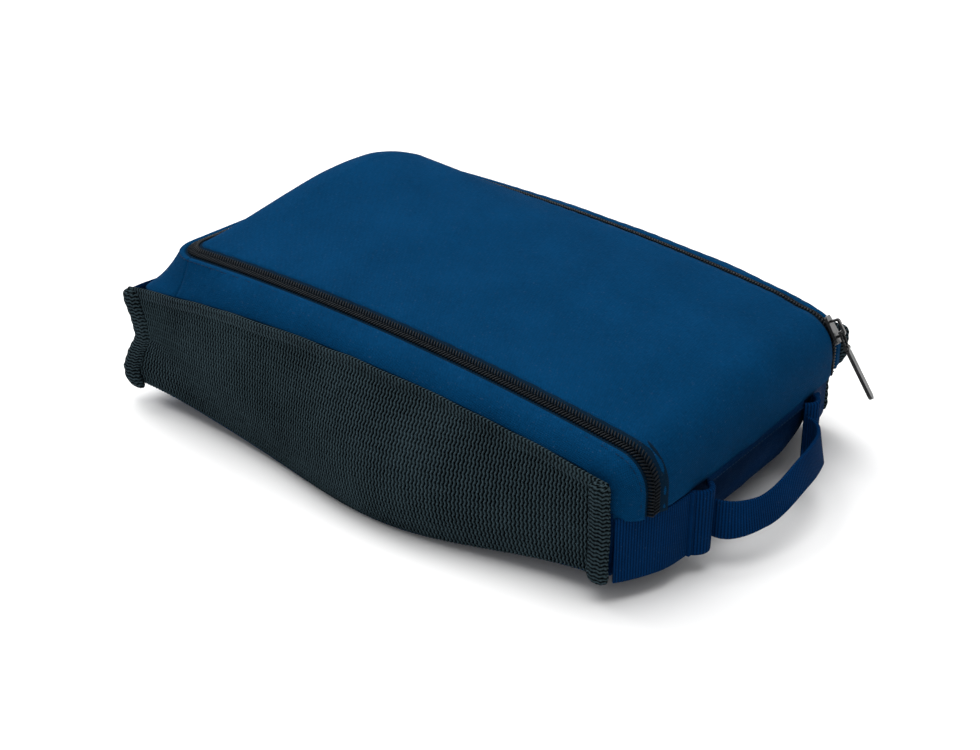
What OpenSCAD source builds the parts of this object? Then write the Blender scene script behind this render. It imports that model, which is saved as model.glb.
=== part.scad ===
// Soft shoe bag with mesh long sides, a zipped lid and a webbing handle at one end.
// Origin: middle of the underside. +X towards the handle, -Y and +Y the mesh sides, +Z up.

/* [Bag body] */
// Length of the bag between its corner seams
body_l = 350; // [290:5:400]
// Width of the bag between its mesh sides
body_w = 236; // [200:2:280]
// Height of the mesh sides at the handle end
side_h = 70; // [62:1:90]
// Extra height of the mesh sides near their middle
side_rise = 20; // [0:1:26]
// How far a mesh side bulges out at its middle
side_bulge = 14; // [0:1:20]
// How far the handle end bulges past the corner seams
end_bulge = 20; // [12:1:26]
// How much further in the back zip's end sits than the front zip's
end_pull = 10; // [0:1:14]
// Thickness of a fabric panel
cloth_t = 1.6; // [1:0.1:2.5]
// Width of the rolled mesh hem
hem_w = 6; // [4:0.5:9]

/* [Lid] */
// Height of the lid's zip above the floor at its highest point
rim_h = 104; // [96:0.5:112]
// Radius of the arc that the zip follows along the bag
rim_r = 1600; // [1200:50:3000]
// Distance of the zip from the long sides
zip_inset = 20; // [18:1:34]
// Distance of the zip from the far end
far_inset = 27; // [22:1:36]
// Rise of the lid's crown near the far end
crown_far = 23; // [10:1:32]
// Rise of the lid's crown at the fold
crown_fold = 9; // [6:0.5:12]
// Distance of the lid's fold from the handle end's corner seams
fold_inset = 36; // [34:1:60]
// Height of the seam where the lid's end meets the handle end panel
seam_h = 51; // [49:0.5:54]

/* [Zip] */
// Width of one zip tape from the middle of the zip
tape_w = 9.2; // [8:0.2:12]
// Thickness of the zip tape
tape_t = 0.9; // [0.6:0.1:1.2]
// Width of the closed coil
coil_w = 7.6; // [6:0.2:9]
// Height of the coil above its tape
coil_h = 2.2; // [1.6:0.1:3]
// Outward tilt of the zip, in degrees
zip_tilt = 20; // [10:1:30]
// Radius of the zip where it turns the far corners
corner_r = 14; // [12:1:24]
// Radius of the zip where it bends down the handle end
bend_r = 20; // [16:1:26]
// Length of the slider
slider_l = 17; // [14:0.5:20]
// Length of the pull tab
tab_l = 33; // [26:1:40]
// Width of the pull tab
tab_w = 6; // [5:0.5:8]

/* [Handle] */
// Width of the handle webbing
strap_w = 38; // [30:1:40]
// Thickness of the handle webbing
strap_t = 2.2; // [1.4:0.1:3]
// Height of the webbing's lower edge above the floor
strap_h = 12; // [10:0.5:13]
// Width of the handle's loop, which is rolled narrower than its webbing
loop_w = 22; // [18:1:36]
// Half the distance between the two folds that hold the handle
handle_span = 60; // [45:1:70]
// How far the handle stands out from the folds
handle_reach = 24; // [20:1:40]

/* [Hidden] */
// Running gap between pieces that move past each other, and between loose fabric edges
gap = 0.3;
// Half the gap between the two coils, which the slider's post runs in
slot = 0.9;
// Fineness of round metal and moulded pieces
$fn = 48;

half_l = body_l / 2;
half_w = body_w / 2;
zip_y = half_w - zip_inset;
far_x = -half_l + far_inset;
// Place along the bag of the zip's highest point
rim_apex = -90;
// The zip lies this far inside the bulge of the handle end
zip_dip = 5;
// Share of the handle end's bulge that is missing at the back
back_share = end_pull / end_bulge;
end_x = half_l + end_bulge - zip_dip;
// Point where the long zip run meets the bend at the handle end
bend_slope = slope(end_x - bend_r);
bend_x = end_x - bend_r + bend_r * sin(bend_slope);
bend_z = rim(bend_x) - bend_r * cos(bend_slope);
fold_x = half_l - fold_inset;
// Where the straight zip run meets the round far corner
corner_x = far_x + corner_r;
// Inner edge of the lid's tape, where the lid's fabric starts
tape_in_y = tape_w * cos(zip_tilt);
tape_in_z = tape_w * sin(zip_tilt);
lid_half_w = zip_y - tape_in_y - gap;
lid_far_x = far_x + tape_in_y + gap;
// Length over which the lid rises from its far zip to its full crown
lid_rise_l = 55;
// The slider is parked on the back bend, this far round it from the top, in degrees
park_a = 55;
slider_w = 12.5;
plate_t = 1.6;
// Clear height of the slider's channel above and below the tape, with play for the bend
channel_top = coil_h + gap;
channel_low = -tape_t - 3 * gap;
low_plate_l = 7;
bridge_h = 5.4;
bridge_w = 3;
link_r = 0.8;
link_l = 10;
link_half_w = 3.2;
bridge_t = 1.3;
// Droop of the resting link and tab, in degrees from the slider's own line
link_droop = 6;
tab_droop = 0;
// Place of the link's pin along the slider, and its height above the tape
pin_x = 3;
pin_z = channel_top + plate_t + bridge_h - bridge_t - link_r - 2 * gap;
handle_x = half_l + end_bulge + 2.5;
// The handle's back end sits this much further in than its front end
handle_skew = 6;
fold_len = 12;
// Thickness of the rolled hem, and how far it stands out from the mesh
hem_t = 3;
hem_out = 0.8;
// Distance of the bands' outer edges inside the long sides, just clear of the hem
hem_in = hem_t - hem_out + gap;
// Share of a mesh side's bulge at its top and bottom edges
top_share = 0.35;
low_share = 0.68;
// The mesh sides are highest here, and this far along they have dropped by their extra height
side_apex = -20;
side_drop_l = half_l - side_apex;

// Height of the zip at a place along the bag, and its slope there in degrees
function rim(x) = rim_h - pow(x - rim_apex, 2) / (2 * rim_r);
function slope(x) = atan((x - rim_apex) / rim_r);
function side_top(x) = side_h + side_rise * (1 - pow((x - side_apex) / side_drop_l, 2));
function unit(v) = v / norm(v);
function mix(a, b, t) = a + (b - a) * t;

// A grid of points, clamped at its edges
function at(g, i, j) = g[min(max(i, 0), len(g) - 1)][min(max(j, 0), len(g[0]) - 1)];
// Outward normal of a grid, by the differences between neighbouring points
function normal(g, i, j) =
    unit(cross(at(g, i + 1, j) - at(g, i - 1, j), at(g, i, j + 1) - at(g, i, j - 1)));
// The same grid moved inwards by t
function inset(g, t) = [
    for (i = [0:len(g) - 1]) [for (j = [0:len(g[0]) - 1]) g[i][j] - t * normal(g, i, j)]
];

// Closed solid between an outer grid and an inner grid of the same size
module between(outer, inner) {
    n = len(outer);
    m = len(outer[0]);
    back = n * m;
    points = concat(
        [for (row = outer) for (p = row) p],
        [for (row = inner) for (p = row) p]
    );
    quads = concat(
        [for (i = [0:n - 2]) for (j = [0:m - 2])
            [i * m + j, i * m + j + 1, (i + 1) * m + j + 1, (i + 1) * m + j]],
        [for (i = [0:n - 2]) for (j = [0:m - 2])
            [back + i * m + j, back + (i + 1) * m + j, back + (i + 1) * m + j + 1, back + i * m + j + 1]],
        [for (i = [0:n - 2])
            [i * m, (i + 1) * m, back + (i + 1) * m, back + i * m]],
        [for (i = [0:n - 2])
            [(i + 2) * m - 1, (i + 1) * m - 1, back + (i + 1) * m - 1, back + (i + 2) * m - 1]],
        [for (j = [0:m - 2])
            [j + 1, j, back + j, back + j + 1]],
        [for (j = [0:m - 2])
            [(n - 1) * m + j, (n - 1) * m + j + 1, back + (n - 1) * m + j + 1, back + (n - 1) * m + j]]
    );
    triangles = [for (q = quads) for (t = [[q[0], q[1], q[2]], [q[0], q[2], q[3]]]) t];
    polyhedron(points = points, faces = triangles, convexity = 6);
}

// Fabric panel of thickness t under a grid
module panel(g, t = cloth_t) {
    between(g, inset(g, t));
}

// Values from a to b in n steps
function steps(a, b, n) = [for (i = [0:n]) mix(a, b, i / n)];

// A station is [point on the zip line, direction away from the lid, outward normal]
function place(s, a, h) =
    s[0] + s[1] * (a * cos(zip_tilt) + h * sin(zip_tilt))
    + s[2] * (h * cos(zip_tilt) - a * sin(zip_tilt));
function flip_y(s) = [for (v = s) [v[0], -v[1], v[2]]];
function reversed(list) = [for (i = [len(list) - 1:-1:0]) list[i]];

end_stations = [
    for (z = steps(seam_h + gap, bend_z, 2)) [[end_x, -zip_y, z], [0, -1, 0], [1, 0, 0]]
];
bend_stations = [
    for (a = steps(15, 90 - bend_slope, 8))
        [[end_x - bend_r + bend_r * cos(a), -zip_y, bend_z + bend_r * sin(a)],
            [0, -1, 0], [cos(a), 0, sin(a)]]
];
function run_station(x) = [[x, -zip_y, rim(x)], [0, -1, 0], [sin(slope(x)), 0, cos(slope(x))]];
fold_station = run_station(fold_x);
run_stations = [for (x = steps(fold_x, corner_x, 10)) run_station(x)];
corner_stations = [
    for (a = steps(270, 180, 6))
        [[corner_x + corner_r * cos(a), -zip_y + corner_r + corner_r * sin(a),
            rim(corner_x + corner_r * cos(a))],
            [cos(a), sin(a), 0], [0, 0, 1]]
];
// Along the back side the zip is drawn in from the fold to the bend
function pull_x(x) = let (t = min(max((x - fold_x) / (end_x - bend_r - fold_x), 0), 1))
    x - end_pull * t * t * (3 - 2 * t);
function pulled(path) = [for (s = path) [[pull_x(s[0][0]), s[0][1], s[0][2]], s[1], s[2]]];
// Round the open three sides of the lid, from fold to fold
near_lid_path = concat(run_stations, corner_stations);
lid_path = concat(near_lid_path, reversed([for (s = near_lid_path) flip_y(s)]));
// From the seam on the handle end, over the bend, to the fold
near_end_path = concat(end_stations, bend_stations, [fold_station]);
pulled_path = pulled(near_end_path);
far_end_path = reversed([for (s = pulled_path) flip_y(s)]);
whole_path = concat(near_end_path, lid_path, far_end_path);

// Strip that follows a path from a0 to a1 across it, its outer face h above the tape
module strip(path, a0, a1, h, t) {
    between(
        [for (s = path) [place(s, a0, h), place(s, a1, h)]],
        [for (s = path) [place(s, a0, h - t), place(s, a1, h - t)]]
    );
}

// Fabric panel between the zip tape's outer edge and another edge given for each station
module band_panel(path, outer_edge) {
    face = [for (i = [0:len(path) - 1]) [for (t = steps(0, 1, 2))
        mix(place(path[i], tape_w + gap, 0), outer_edge[i], t)]];
    between(face, [for (i = [0:len(path) - 1]) [for (p = face[i])
        p + place(path[i], 0, -cloth_t) - path[i][0]]]);
}

// Both sides of the lid
module both_sides() {
    children();
    mirror([0, 1, 0]) children();
}

// ---- Root body: panels ----

// How far a mesh side stands out at a place along the bag, for a share of the full bulge
function bulge(x, share) = share * side_bulge * (1 - pow(x / half_l, 2));
// Distance of the handle end from the origin at a place across the bag
function end_face(y) = half_l + end_bulge * (1 - pow(min(abs(y) / half_w, 1), 5))
    * (1 - back_share * min(max((y + zip_y) / (2 * zip_y), 0), 1));
// Outline of the underside, moved inwards by d
function outline(d) = concat(
    [for (x = steps(-half_l + d, half_l - d, 12)) [x, -half_w + d - bulge(x, low_share)]],
    [for (y = steps(-half_w + d, half_w - d, 16)) [end_face(y) - d, y]],
    [for (x = steps(half_l - d, -half_l + d, 12)) [x, half_w - d + bulge(x, low_share)]]
);

module bottom_panel() {
    color("midnightblue")
        linear_extrude(height = cloth_t) polygon(outline(0));
}

// Grid of a mesh side: bulged most at half length and below half its height
function side_grid() = [
    for (x = steps(half_l, -half_l, 12)) [
        for (v = steps(1, 0, 4)) [
            x,
            -half_w - bulge(x, mix(low_share, top_share, v) + 0.3 * sin(180 * v)),
            mix(cloth_t, side_top(x) - hem_w, v)
        ]
    ]
];

module mesh_side() {
    panel(side_grid(), cloth_t);
}
module front_mesh_panel() {
    color("darkslategray") mesh_side();
}
module back_mesh_panel() {
    color("darkslategray") mirror([0, 1, 0]) mesh_side();
}

// Rolled hem along the top of a mesh side
module mesh_hem() {
    hem = [for (x = steps(half_l, -half_l, 12)) [for (z = [0, gap - hem_w])
        [x, -half_w - bulge(x, top_share) - hem_out, side_top(x) + z]]];
    between(hem, [for (row = hem) [for (p = row) p + [0, hem_t, 0]]]);
}
module front_mesh_hem() {
    color("darkslategray") mesh_hem();
}
module back_mesh_hem() {
    color("darkslategray") mirror([0, 1, 0]) mesh_hem();
}

// Rolled seams that stand up the four corners
module corner_rolls() {
    roll_d = 6;
    roll_y = -half_w - roll_d / 2 - hem_out - gap;
    color("darkslategray")
        both_sides()
            for (end = [-1, 1])
                translate([end * (half_l - 2), roll_y, cloth_t])
                    cylinder(d = roll_d, h = side_top(end * half_l) - cloth_t);
}

module far_end_panel() {
    w = half_w - hem_in;
    color("navy")
        translate([-half_l, -w, cloth_t])
            cube([cloth_t, 2 * w, side_top(-half_l) - 2 * cloth_t]);
}

function end_grid(w, z0, z1, out) = [
    for (z = [z0, z1]) [for (y = steps(w, -w, 16)) [end_face(y) + out, y, z]]
];
module handle_end_panel() {
    color("navy")
        panel(end_grid(half_w - cloth_t - gap, cloth_t, seam_h - gap, 0));
}

// Panel between a mesh side's hem and the zip, over the bend and down the handle end
function band_outer(s) =
    let (x = s[0][0], z = s[0][2], t = min(max((x - fold_x) / (end_x - fold_x), 0), 1))
    z < bend_z + 1
        ? [half_l - cloth_t, -half_w + cloth_t + gap, z]
        : [mix(min(x, half_l - 12), half_l - cloth_t, pow(t, 4)),
            -half_w + hem_in - bulge(x, top_share) * (1 - t),
            side_top(min(x, half_l)) - band_drop * pow(t, 4)];
// Drop of the band's outer edge as it turns down the handle end
band_drop = 9;
band_path = concat(near_end_path, run_stations);
band_edge = [for (s = band_path) band_outer(s)];
module front_band() {
    color("navy") band_panel(band_path, band_edge);
}
module back_band() {
    color("navy") mirror([0, 1, 0]) band_panel(concat(pulled_path, run_stations), band_edge);
}

// Panel between the far end panel and the zip, square outside and round at the zip's corners
function far_outer(s) =
    let (reach_x = (far_inset + corner_r) / max(abs(s[1][0]), 0.001),
        reach_y = (zip_inset + corner_r - hem_in) / max(abs(s[1][1]), 0.001),
        centre = s[0] - corner_r * s[1],
        p = centre + min(reach_x, reach_y) * s[1])
    [p[0], p[1] + sign(p[1]) * bulge(p[0], top_share), side_top(p[0])];
far_path = concat(corner_stations, reversed([for (s = corner_stations) flip_y(s)]));
module far_end_band() {
    color("navy")
        band_panel(far_path, [for (s = far_path) far_outer(s)]);
}

// Binding tape round the seam inside the bottom
module bottom_binding() {
    binding_h = 10;
    binding_t = 1;
    color("black")
        translate([0, 0, cloth_t])
            linear_extrude(height = binding_h)
                difference() {
                    polygon(outline(cloth_t + gap + binding_t));
                    polygon(outline(cloth_t + gap + 2 * binding_t));
                }
}

// ---- Root body: end of the lid's fabric, below the fold ----

function arch(y, w) = 1 - pow(abs(y) / w, 2.5);
function flap_point(s, y, rise) =
    [mix(s[0][0], pull_x(s[0][0]), (y + zip_y) / (2 * zip_y)), y, s[0][2]]
    + s[2] * (tape_in_z + rise * arch(y, lid_half_w));
flap_path = concat(
    [[[end_x, 0, seam_h + gap], [0, -1, 0], [1, 0, 0]]],
    [for (i = [1:len(end_stations) - 1]) end_stations[i]], bend_stations,
    [[[fold_x + gap, 0, rim(fold_x)], [0, -1, 0], [0, 0, 1]]]
);
// Bulge of the lid's end at its seam, beyond its zips
flap_bulge = 3;
module lid_end_flap() {
    n = len(flap_path) - 1;
    color("navy")
        panel([for (i = [0:n]) [for (y = steps(lid_half_w, -lid_half_w, 12))
            flap_point(flap_path[i], y, mix(flap_bulge, crown_fold, i / n))]]);
}

// Raised, topstitched seam between the lid's end and the handle end panel
module hinge_seam() {
    w = handle_span - fold_len / 2 - gap;
    seam_t = 0.8;
    seam_w = 4;
    color("midnightblue")
        between(
            end_grid(w, seam_h - seam_w, seam_h, gap + seam_t),
            end_grid(w, seam_h - seam_w, seam_h, gap)
        );
}

// ---- Root body: zip ----

module rim_zip_tape() {
    color("midnightblue") strip(whole_path, slot, tape_w, 0, tape_t);
}
module rim_zip_coil() {
    color("black") strip(whole_path, slot, coil_w / 2, coil_h, coil_h);
}
module end_zip_tape() {
    color("midnightblue") {
        strip(near_end_path, -tape_w, -slot, 0, tape_t);
        mirror([0, 1, 0]) strip(pulled_path, -tape_w, -slot, 0, tape_t);
    }
}
module end_zip_coil() {
    color("black") {
        strip(near_end_path, -coil_w / 2, -slot, coil_h, coil_h);
        mirror([0, 1, 0]) strip(pulled_path, -coil_w / 2, -slot, coil_h, coil_h);
    }
}

// ---- Root body: webbing ----

// Webbing sewn across the handle end from y1 to y0, between a corner seam and a handle's fold
strap_near = handle_span + fold_len / 2;
strap_far = half_w - 4;
module base_strap(y1, y0) {
    back = [for (z = [strap_h, strap_h + strap_w]) [for (y = steps(y1, y0, 8)) [end_face(y), y, z]]];
    between(
        [for (row = back) [for (p = row) p + [gap + strap_t, 0, 0]]],
        [for (row = back) [for (p = row) p + [gap, 0, 0]]]
    );
}
module base_strap_front() {
    color("midnightblue") base_strap(-strap_near, -strap_far);
}
module base_strap_back() {
    color("midnightblue") base_strap(strap_far, strap_near);
}

// Doubled webbing that anchors one end of the handle, whose middle is at y
module handle_fold(y) {
    color("midnightblue")
        translate([fold_face(y) + gap, y - fold_len / 2, strap_h])
            cube([2 * strap_t, fold_len, strap_w]);
}
function fold_face(y) = max(end_face(y - fold_len / 2), end_face(y + fold_len / 2));
module handle_fold_front() {
    handle_fold(-handle_span);
}
module handle_fold_back() {
    handle_fold(handle_span);
}

// ---- Lid body ----

function lid_w(x) =
    let (r = corner_r - tape_in_y)
    x < lid_far_x + r ? lid_half_w - r + sqrt(max(r * r - pow(lid_far_x + r - x, 2), 0)) : lid_half_w;
function crown(x) =
    mix(crown_fold, crown_far, min((fold_x - x) / (fold_x - lid_far_x - lid_rise_l), 1))
    * (x < lid_far_x + lid_rise_l ? sqrt(1 - pow((lid_far_x + lid_rise_l - x) / lid_rise_l, 2)) : 1);
lid_x = concat(
    steps(fold_x - gap, lid_far_x + lid_rise_l, 8),
    [for (a = steps(9, 90, 9)) lid_far_x + lid_rise_l * (1 - sin(a))]
);
module lid_panel() {
    color("navy")
        panel([for (x = lid_x) [for (u = steps(1, -1, 12))
            [x, u * lid_w(x), rim(x) + tape_in_z + crown(x) * (1 - pow(abs(u), 2.5))]]]);
}
module lid_zip_tape() {
    color("midnightblue") strip(lid_cut(lid_path), -tape_w, -slot, 0, tape_t);
}
module lid_zip_coil() {
    color("black") strip(lid_cut(lid_path), -coil_w / 2, -slot, coil_h, coil_h);
}
// The lid's zip stops short of the fold by the running gap
function lid_cut(path) = [for (i = [0:len(path) - 1])
    i == 0 || i == len(path) - 1
        ? [path[i][0] - [2 * gap, 0, -2 * gap * tan(slope(fold_x))], path[i][1], path[i][2]]
        : path[i]];

// ---- Slider and pull ----

// Places children at the parked slider, with X along the zip and Z away from it
module on_slider() {
    translate([end_x - bend_r - end_pull, zip_y, bend_z])
        rotate([0, park_a, 0])
            translate([0, 0, bend_r])
                rotate([-zip_tilt, 0, 0])
                    children();
}

// Outline of a slider plate: two shoulders at the nose and a narrower tail
module plate(l) {
    linear_extrude(height = plate_t)
        hull() {
            translate([l / 2 - 3, -slider_w / 2 + 3]) circle(3);
            translate([l / 2 - 3, slider_w / 2 - 3]) circle(3);
            translate([-l / 2 + 2, -slider_w / 2 + 3.5]) circle(2);
            translate([-l / 2 + 2, slider_w / 2 - 3.5]) circle(2);
        }
}
module slider_body() {
    // The post clears the coils' edges all the way round the bend
    post_w = 2 * (slot - gap) - 0.3;
    post_l = 4;
    color("black")
        on_slider() {
            translate([0, 0, channel_top]) plate(slider_l);
            translate([0, 0, channel_low - plate_t]) plate(low_plate_l);
            translate([-post_l / 2, -post_w / 2, channel_low - gap])
                cube([post_l, post_w, channel_top - channel_low + 2 * gap]);
            translate([0, bridge_w / 2, channel_top + plate_t - gap])
                rotate([90, 0, 0])
                    linear_extrude(height = bridge_w)
                        difference() {
                            bridge_outline(0);
                            bridge_outline(bridge_t);
                        }
        }
}
module bridge_outline(wall) {
    hull() {
        translate([-5.5 + wall, 0]) square([11 - 2 * wall, 0.1]);
        translate([-3, bridge_h - 2]) circle(r = 2 - wall);
        translate([3.8, bridge_h - 2]) circle(r = 2 - wall);
    }
}

// Places children at the link's pin, with X along the resting link
module on_link() {
    on_slider()
        translate([pin_x, 0, pin_z])
            rotate([0, link_droop, 0])
                children();
}

// Wire loop through the bridge
module pull_link() {
    color("black")
        on_link() {
            for (x = [0, link_l])
                translate([x, -link_half_w - link_r, 0]) rotate([-90, 0, 0])
                    cylinder(r = link_r, h = 2 * (link_half_w + link_r));
            for (side = [-1, 1])
                translate([0, side * link_half_w, 0]) rotate([0, 90, 0])
                    cylinder(r = link_r - 0.1, h = link_l);
        }
}

// Flat bar with a round end, and a rolled eye round the link's front wire
module pull_tab() {
    eye_r = link_r + gap;
    eye_wall = 0.7;
    tab_t = 2;
    eye_w = 2 * (link_half_w - link_r - gap);
    color("black")
        on_link()
            translate([link_l, 0, 0])
                rotate([0, tab_droop - link_droop, 0])
                    difference() {
                        union() {
                            translate([eye_r + link_r + gap, -tab_w / 2, -tab_t / 2])
                                cube([tab_l - eye_r - link_r - gap - tab_w / 2, tab_w, tab_t]);
                            translate([tab_l - tab_w / 2, 0, -tab_t / 2])
                                cylinder(d = tab_w, h = tab_t);
                            translate([0, -eye_w / 2, -tab_t / 2]) cube([tab_w / 2, eye_w, tab_t]);
                            translate([0, -eye_w / 2, 0]) rotate([-90, 0, 0])
                                cylinder(r = eye_r + eye_wall, h = eye_w);
                        }
                        translate([0, -tab_w, 0]) rotate([-90, 0, 0])
                            cylinder(r = eye_r, h = 2 * tab_w);
                    }
}

// ---- Handle body ----

// Webbing loop, half an ellipse in plan, standing on edge
handle_a = handle_span - fold_len / 2 - gap;
function loop_x(a, reach) = handle_x - handle_skew * (1 + sin(a)) / 2 + reach * cos(a);
module handle_loop() {
    arc = steps(90, -90, 20);
    mid = strap_h + strap_w / 2;
    low = mid - loop_w / 2;
    high = mid + loop_w / 2;
    color("midnightblue")
        between(
            [for (z = [low, high]) [for (a = arc)
                [loop_x(a, handle_reach), handle_a * sin(a), z]]],
            [for (z = [low, high]) [for (a = arc)
                [loop_x(a, handle_reach - strap_t), (handle_a - strap_t) * sin(a), z]]]
        );
}

bottom_panel();
front_mesh_panel();
back_mesh_panel();
front_mesh_hem();
back_mesh_hem();
corner_rolls();
far_end_panel();
handle_end_panel();
front_band();
back_band();
far_end_band();
bottom_binding();
lid_end_flap();
hinge_seam();
rim_zip_tape();
rim_zip_coil();
end_zip_tape();
end_zip_coil();
base_strap_front();
base_strap_back();
handle_fold_front();
handle_fold_back();
lid_panel();
lid_zip_tape();
lid_zip_coil();
slider_body();
pull_link();
pull_tab();
handle_loop();
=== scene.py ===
"""Golf shoe bag: mesh sides, a zipped lid of navy oxford cloth, and a webbing handle."""

import math

import bpy
import numpy as np
from bpy.props import FloatProperty, FloatVectorProperty, PointerProperty
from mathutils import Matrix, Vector


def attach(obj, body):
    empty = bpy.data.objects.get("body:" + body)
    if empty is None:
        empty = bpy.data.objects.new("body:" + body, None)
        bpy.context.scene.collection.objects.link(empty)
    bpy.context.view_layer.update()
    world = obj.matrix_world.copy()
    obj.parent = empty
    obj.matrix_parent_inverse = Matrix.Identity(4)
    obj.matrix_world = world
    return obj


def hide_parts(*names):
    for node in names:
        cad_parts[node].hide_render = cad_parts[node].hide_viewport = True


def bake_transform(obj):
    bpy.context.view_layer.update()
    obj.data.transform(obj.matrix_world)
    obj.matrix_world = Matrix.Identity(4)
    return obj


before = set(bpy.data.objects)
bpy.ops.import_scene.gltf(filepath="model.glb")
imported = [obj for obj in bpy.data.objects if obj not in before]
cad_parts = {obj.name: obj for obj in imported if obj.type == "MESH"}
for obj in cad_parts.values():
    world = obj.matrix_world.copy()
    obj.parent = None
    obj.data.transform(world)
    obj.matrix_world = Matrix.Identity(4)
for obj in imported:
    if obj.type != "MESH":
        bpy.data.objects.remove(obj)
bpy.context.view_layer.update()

bl_info = {
    "name": "Golf Shoe Bag",
    "version": (1, 0, 0),
    "blender": (4, 5, 0),
    "location": "View3D > Sidebar > Shoe Bag",
    "description": "Builds a zip-top shoe bag with mesh sides round its CAD frame",
    "category": "Add Mesh",
}

# Sizes of the CAD frame, in millimetres
HALF_L, HALF_W = 175.0, 118.0
SIDE_H, SIDE_RISE, SIDE_BULGE, END_BULGE = 70.0, 20.0, 14.0, 20.0
RIM_H, RIM_R, RIM_APEX, SIDE_APEX = 104.0, 1600.0, -90.0, -20.0
CORNER_R, BEND_R, TILT = 14.0, 20.0, math.radians(20)
TAPE_W, SLOT = 9.2, 0.9
ZIP_Y, FAR_X, END_X, FOLD_X = 98.0, -148.0, 190.0, 139.0
SEAM_H, STRAP_H, STRAP_W, STRAP_T = 51.0, 12.0, 38.0, 2.2
HANDLE_SPAN, HANDLE_REACH, HANDLE_X, FOLD_LEN = 60.0, 24.0, 197.5, 12.0
END_PULL, HANDLE_SKEW = 10.0, 6.0
TOP_SHARE = 0.35
# How far the underside rises at its ends, and how thick the cloth stands above the CAD's there
END_LIFT, UNDER = 12.0, 1.0
# Where the load presses the sides out most, how far, how far it dies out behind and ahead, and
# where up the half wave its foot starts
TOE_X, TOE_OUT, TOE_BACK, TOE_AHEAD, TOE_FOOT = 38.0, 21.0, 88.0, 81.0, 0.305
# The far corner seams lean out at the top and near the foot, and are pinched in between
BOW_HEIGHTS = (0, 9, 16, 24, 36, 47, 60, 70, 90)
BOW_LEANS = (-3, 1, 7, 8, 3, -4, -2, 2, 3)
# The handle end's back corner is drawn in, and its foot is tucked under by a least and by more
BACK_IN, FOOT_LEAST, FOOT_MORE = 10.0, 3.5, 8.0
# The lid's cloth starts this far from the zip's line at the far end and along the sides
LID_END, LID_SIDE = 5.2, 4.9
# The lid's crown: its height, the run it rises over, and its height at the fold and at the seam
CROWN_H, CROWN_RUN, CROWN_FOLD, CROWN_SEAM = 24.5, 32.0, 5.0, 3.0
# One tooth of the zip: length, radius, height to radius, slant, and place across and above
TOOTH_L, TOOTH_R, TOOTH_TALL, TOOTH_SLANT, TOOTH_Y, TOOTH_Z = 4.1, 0.66, 1.45, 0.45, 1.75, 1.1
# Height of the mesh's ribs, and the sideways swing of their zig-zag as a share of a rib
RIB_H, RIB_SWING = 0.42, 0.16
# The corner rolls: foot, radius, and how much longer they are along the bag than across
ROLL_FOOT, ROLL_R, ROLL_LONG = 11.0, 3.9, 1.35
MIRROR = np.array([1.0, -1.0, 1.0])
UP = np.array([0.0, 0.0, 1.0])
BEND_SLOPE = math.atan((END_X - BEND_R - RIM_APEX) / RIM_R)
BEND_X = END_X - BEND_R + BEND_R * math.sin(BEND_SLOPE)
CORNER_X = FAR_X + CORNER_R


# ---- Shape of the bag, as functions of place ----

def rim(x):
    """Height of the zip: an arc about its highest point."""
    return RIM_H - (x - RIM_APEX) ** 2 / (2 * RIM_R)


BEND_Z = rim(BEND_X) - BEND_R * math.cos(BEND_SLOPE)


def side_top(x):
    """Height of a mesh side's top edge: an arc from the handle end's height."""
    return SIDE_H + SIDE_RISE * (1 - ((x - SIDE_APEX) / (HALF_L - SIDE_APEX)) ** 2)


def bulge(x, share):
    """Parabola along the bag, by a share of the full bulge."""
    return share * SIDE_BULGE * (1 - (x / HALF_L) ** 2)


def toe_push(x):
    """A bell curve where the load presses the side out most, wider behind than ahead."""
    width = np.where(x < TOE_X, TOE_BACK, TOE_AHEAD)
    return TOE_OUT * np.exp(-((x - TOE_X) / width) ** 2) * (1 - np.abs(x / HALF_L) ** 6)


def far_bow(z):
    """How far the far corner seams lean out at a height."""
    return np.interp(z, BOW_HEIGHTS, BOW_LEANS)


def back_draw(y, z):
    """How far the handle end's back corner is drawn in below the bands."""
    return BACK_IN * smooth((y - 50) / 60) * smooth((53 - z) / 18)


def foot_in(y):
    """How far the handle end's foot is tucked in under it: most in the middle."""
    return FOOT_LEAST + FOOT_MORE * (1 - np.minimum(np.abs(y) / HALF_W, 1) ** 4)


def end_face(y):
    """Distance of the handle end along the bag: flat in the middle, round near its corners, and
    drawn in towards the back."""
    missing = END_PULL / END_BULGE * np.clip((y + ZIP_Y) / (2 * ZIP_Y), 0, 1)
    return HALF_L + END_BULGE * (1 - np.minimum(np.abs(y) / HALF_W, 1) ** 5) * (1 - missing)


def pull_x(x, y):
    """Place along the bag after its back is drawn in, from the fold to the bend."""
    share = np.clip((y + ZIP_Y) / (2 * ZIP_Y), 0, 1)
    return x - END_PULL * smooth((x - FOLD_X) / (END_X - BEND_R - FOLD_X)) * share


def lift(x, y):
    """How far the underside rises towards its ends: a sine of a power of the distance along."""
    u = np.abs(x) / HALF_L
    return END_LIFT * np.sin(math.pi / 2 * np.minimum(u, 1.0) ** 2.2) + 0 * y


def mix(a, b, t):
    """Straight mixture from a to b."""
    return a + (b - a) * t


def smooth(t):
    """Smooth step from 0 to 1."""
    t = np.clip(t, 0, 1)
    return t * t * (3 - 2 * t)


def ripple(x, y, seed, size=60.0):
    """Soft folds: a sum of six sine waves at set directions and lengths, about -1 to 1."""
    rng = np.random.default_rng(seed)
    total = 0.0
    for _ in range(6):
        turn, phase = rng.uniform(0, 2 * math.pi, 2)
        length = size * rng.uniform(0.5, 1.6)
        here = x * math.cos(turn) + y * math.sin(turn)
        total = total + np.sin(2 * math.pi * here / length + phase)
    return total / 3.0


def sampled(at, gone, points):
    """Points at some distances along a line whose points lie at known distances."""
    return np.stack([np.interp(at, gone, points[:, i]) for i in range(3)], -1)


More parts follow.
